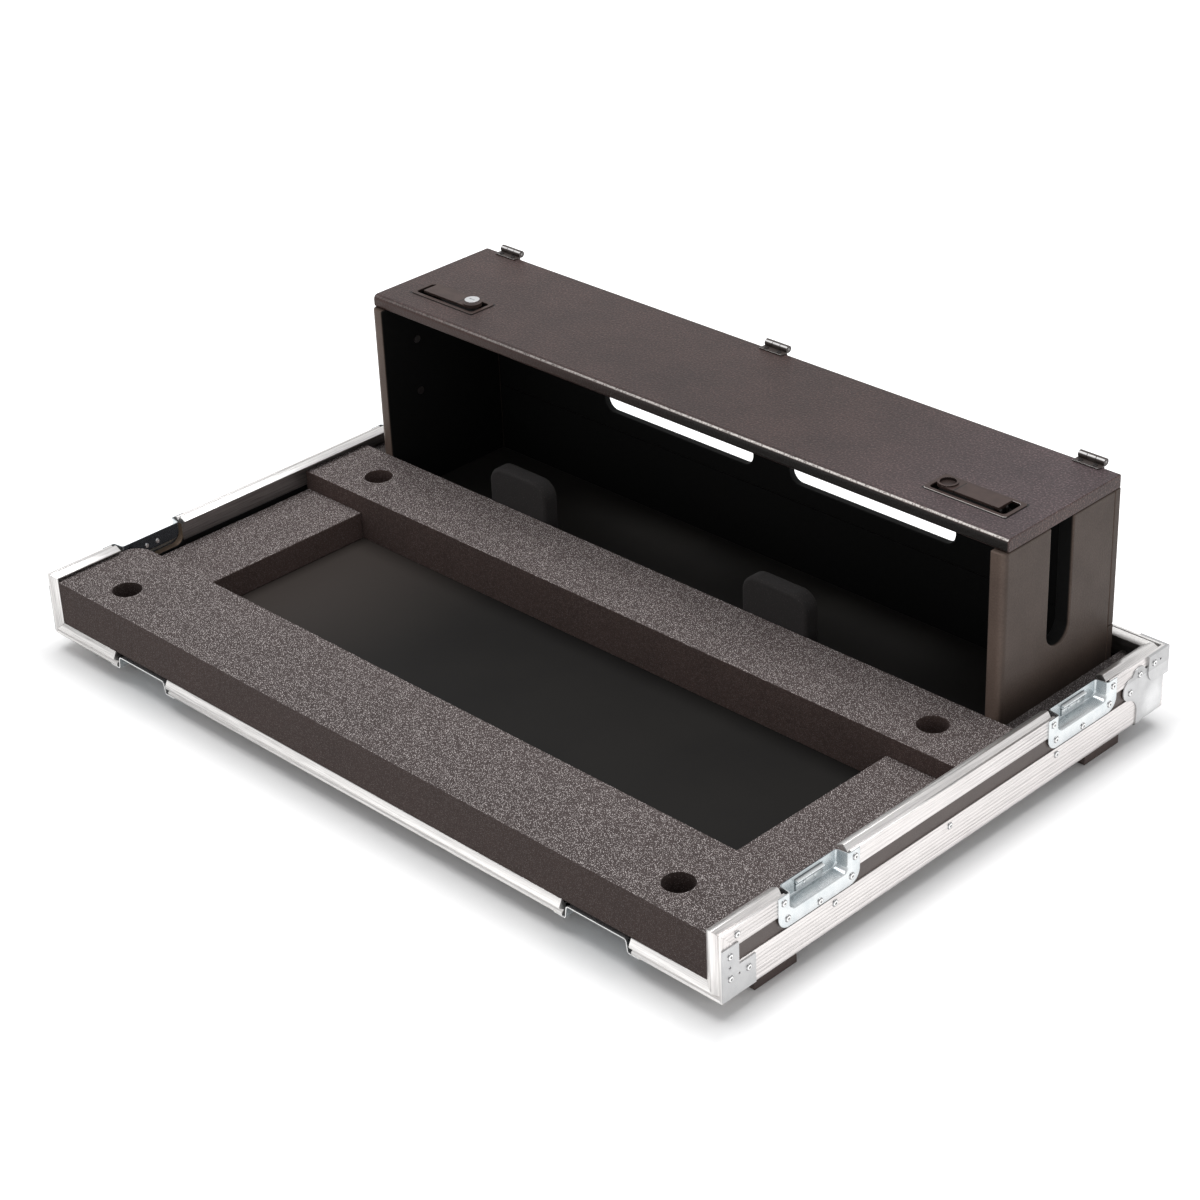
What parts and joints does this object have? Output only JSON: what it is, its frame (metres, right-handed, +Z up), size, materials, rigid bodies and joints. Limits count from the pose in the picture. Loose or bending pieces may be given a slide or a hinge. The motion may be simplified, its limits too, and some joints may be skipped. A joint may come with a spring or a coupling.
{
  "type": "mixer flight case",
  "caption": "Open base tray of a mixing desk flight case with foam beds and a hinged, lockable cable box along its rear edge.",
  "frame": {"origin": "on the floor, under the middle of the case's overall box", "axes": "+X along the long side to the right seen from the open front, +Y from the open front to the rear wall, +Z up"},
  "size_m": [1.0092, 0.6756, 0.2943],
  "materials": {
    "ply": "brown-grey laminate on plywood, light edges",
    "floor": "dark laminate, soft sheen",
    "aluminium": "bright mill finish with fine lengthwise lines",
    "zinc": "zinc-plated pressed steel",
    "rivet": "bright domed heads",
    "foot": "dark brown, matte",
    "foam": "firm closed-cell foam, fine speckle",
    "pad": "dark foam",
    "box": "painted plywood, satin",
    "lid": "painted plywood, orange-peel paint, worn front edge",
    "bumper": "black",
    "black_metal": "black, semi-gloss",
    "steel": "dull",
    "chrome": "polished"
  },
  "bodies": {
    "tray": {"left_wall_board": "ply", "right_wall_board": "ply", "rear_wall_board": "ply", "base_board": "floor", "left_top_rail": "aluminium", "right_top_rail": "aluminium", "rear_top_rail": "aluminium", "left_bottom_angle": "aluminium", "right_bottom_angle": "aluminium", "rear_bottom_angle": "aluminium", "rear_corner_angles": "aluminium", "front_bottom_rail": "aluminium", "left_front_post": "aluminium", "right_front_post": "aluminium", "left_ball_corner": "zinc", "right_ball_corner": "zinc", "corner_caps": "zinc", "corner_braces": "zinc", "left_front_dish": "zinc", "left_rear_dish": "zinc", "right_front_dish": "zinc", "right_rear_dish": "zinc", "left_bottom_dish": "zinc", "right_bottom_dish": "zinc", "catch_plates": "zinc", "case_rivets": "rivet", "feet": "foot", "front_foam": "foam", "rear_foam": "foam", "left_block_foam": "foam", "right_block_foam": "foam", "left_gap_foam": "foam", "right_gap_foam": "foam", "left_foam_pad": "pad", "right_foam_pad": "pad", "left_side_panel": "box", "right_side_panel": "box", "rear_strip": "box", "panel_bumpers": "bumper", "strip_hinge_leaves": "black_metal", "strip_hinge_screws": "black_metal"},
    "flap": {"rear_flap": "box", "fold_hinge_leaves": "black_metal", "flap_hinge_leaves": "black_metal", "hinge_pins": "steel", "flap_hinge_screws": "black_metal"},
    "lid": {"lid_board": "lid", "lid_hinge_leaves": "black_metal", "lid_hinge_screws": "black_metal", "left_lock_frame": "black_metal", "right_lock_frame": "black_metal"},
    "left_lock": {"left_lock_spindle": "steel", "left_lock_cam": "steel"},
    "right_lock": {"right_lock_spindle": "steel", "right_lock_cam": "steel"},
    "left_lever": {"left_lock_lever": "black_metal"},
    "right_lever": {"right_lock_lever": "black_metal"},
    "key": {"key_cylinder": "chrome"}
  },
  "joints": [
    {"name": "flap_fold", "type": "hinge", "parent": "tray", "child": "flap", "pos_m": [0, 0.3062, 0.116], "axis": [-1, 0, 0], "range_deg": [0, 90]},
    {"name": "lid_open", "type": "hinge", "parent": "flap", "child": "lid", "pos_m": [0, 0.3062, 0.29], "axis": [-1, 0, 0], "range_deg": [0, 120]},
    {"name": "left_lock_turn", "type": "hinge", "parent": "lid", "child": "left_lock", "pos_m": [-0.408, 0.1712, 0.27], "axis": [0, 0, 1], "range_deg": [0, 90]},
    {"name": "right_lock_turn", "type": "hinge", "parent": "lid", "child": "right_lock", "pos_m": [0.408, 0.1712, 0.27], "axis": [0, 0, -1], "range_deg": [0, 90]},
    {"name": "left_lever_lift", "type": "hinge", "parent": "left_lock", "child": "left_lever", "pos_m": [-0.408, 0.1712, 0.282], "axis": [0, -1, 0], "range_deg": [0, 60]},
    {"name": "right_lever_lift", "type": "hinge", "parent": "right_lock", "child": "right_lever", "pos_m": [0.408, 0.1712, 0.282], "axis": [0, 1, 0], "range_deg": [0, 60]},
    {"name": "key_turn", "type": "hinge", "parent": "left_lever", "child": "key", "pos_m": [-0.34275, 0.1712, 0.29], "axis": [0, 0, 1], "range_deg": [0, 90]}
  ]
}
